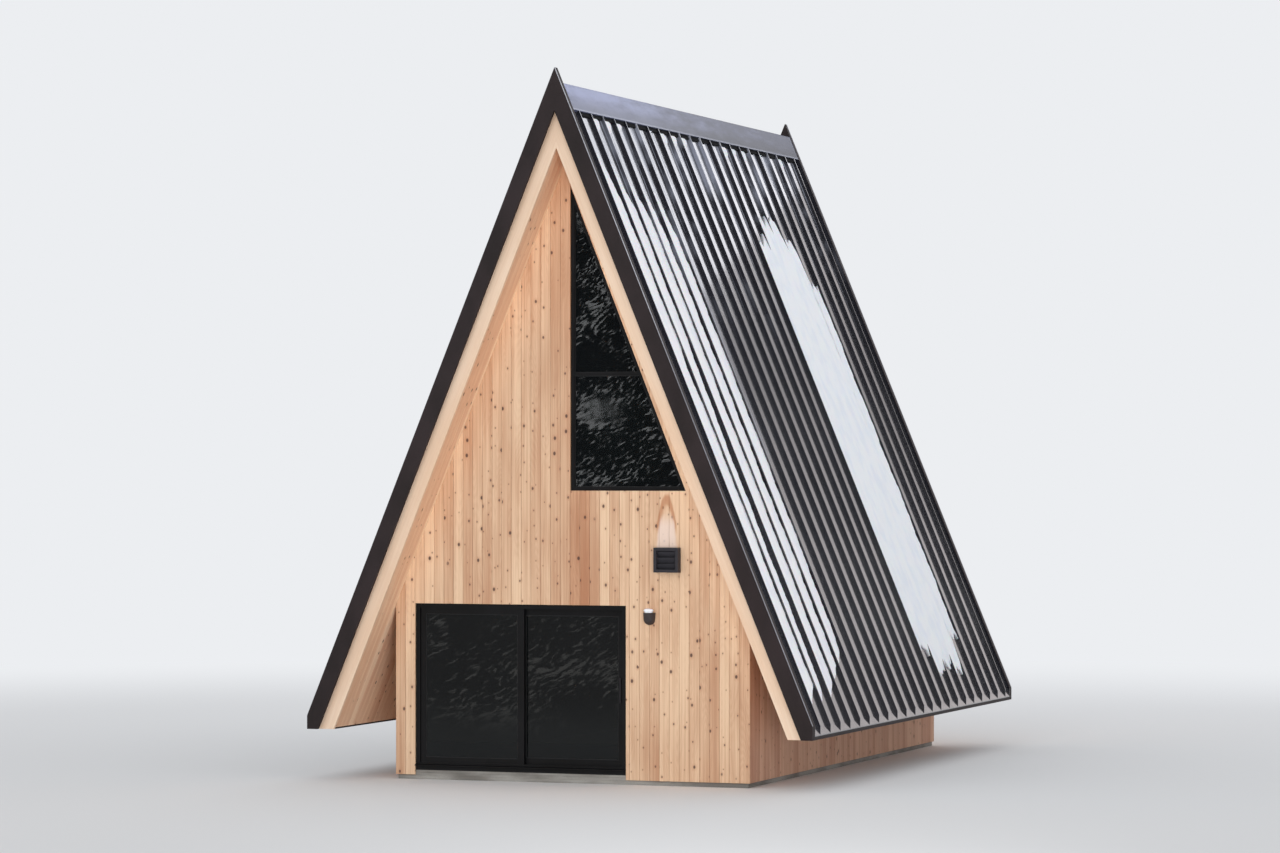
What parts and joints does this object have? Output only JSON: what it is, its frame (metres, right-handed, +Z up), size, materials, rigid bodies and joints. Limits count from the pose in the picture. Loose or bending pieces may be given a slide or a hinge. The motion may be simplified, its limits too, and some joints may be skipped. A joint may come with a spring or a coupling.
{
  "type": "a-frame cabin",
  "caption": "Steep gabled timber cabin with a standing-seam metal roof down to low eaves, a sliding glass door and a tall triangular gable window.",
  "frame": {"origin": "on the ground, in the middle of the footprint", "axes": "+X to the right across the front, +Y along the ridge from the front to the back, +Z up; the front gable faces -Y"},
  "size_m": [6.88, 9.647, 9.15],
  "materials": {
    "concrete": "matte",
    "floor_board": "satin",
    "wall_panel": "matte",
    "facade_board": "matte",
    "rake_timber": "matte",
    "lining_board": "matte",
    "roof_panel": "matte",
    "roof_metal": "satin",
    "rake_metal": "satin",
    "frame_metal": "satin",
    "fitting_metal": "satin",
    "glass": "gloss",
    "rubber": "matte"
  },
  "bodies": {
    "house": {"back_cladding": "facade_board", "back_lower_window_frame": "frame_metal", "back_lower_window_glass": "glass", "back_wall_gable_left": "wall_panel", "back_wall_gable_right": "wall_panel", "back_wall_gable_top": "wall_panel", "back_wall_left": "wall_panel", "back_wall_right": "wall_panel", "back_wall_sill": "wall_panel", "back_window_frame": "frame_metal", "back_window_glass": "glass", "door_head": "frame_metal", "door_jambs": "frame_metal", "door_stop": "rubber", "door_threshold": "frame_metal", "eave_closers": "roof_metal", "fixed_door_frame": "frame_metal", "fixed_door_glass": "glass", "foundation": "concrete", "front_cladding": "facade_board", "front_wall_gable_left": "wall_panel", "front_wall_gable_right": "wall_panel", "front_wall_gable_top": "wall_panel", "front_wall_left": "wall_panel", "front_wall_right": "wall_panel", "front_window_frame": "frame_metal", "front_window_glass": "glass", "ground_floor": "floor_board", "loft_floor": "floor_board", "rake_board_left": "rake_timber", "rake_board_right": "rake_timber", "rake_box_left": "rake_metal", "rake_box_right": "rake_metal", "ridge_cap": "roof_metal", "roof_lining_left": "lining_board", "roof_lining_right": "lining_board", "roof_panel_left": "roof_panel", "roof_panel_right": "roof_panel", "roof_sheet_left": "roof_metal", "roof_sheet_right": "roof_metal", "side_cladding": "facade_board", "side_wall_left": "wall_panel", "side_wall_right": "wall_panel", "vent_hood": "fitting_metal", "wall_lamp": "fitting_metal"},
    "sliding_door": {"sliding_door_frame": "frame_metal", "sliding_door_glass": "glass", "sliding_door_handles": "frame_metal"}
  },
  "joints": [
    {"name": "door_slide", "type": "slide", "parent": "house", "child": "sliding_door", "axis": [-1, 0, 0], "range_m": [0, 1.272]}
  ]
}
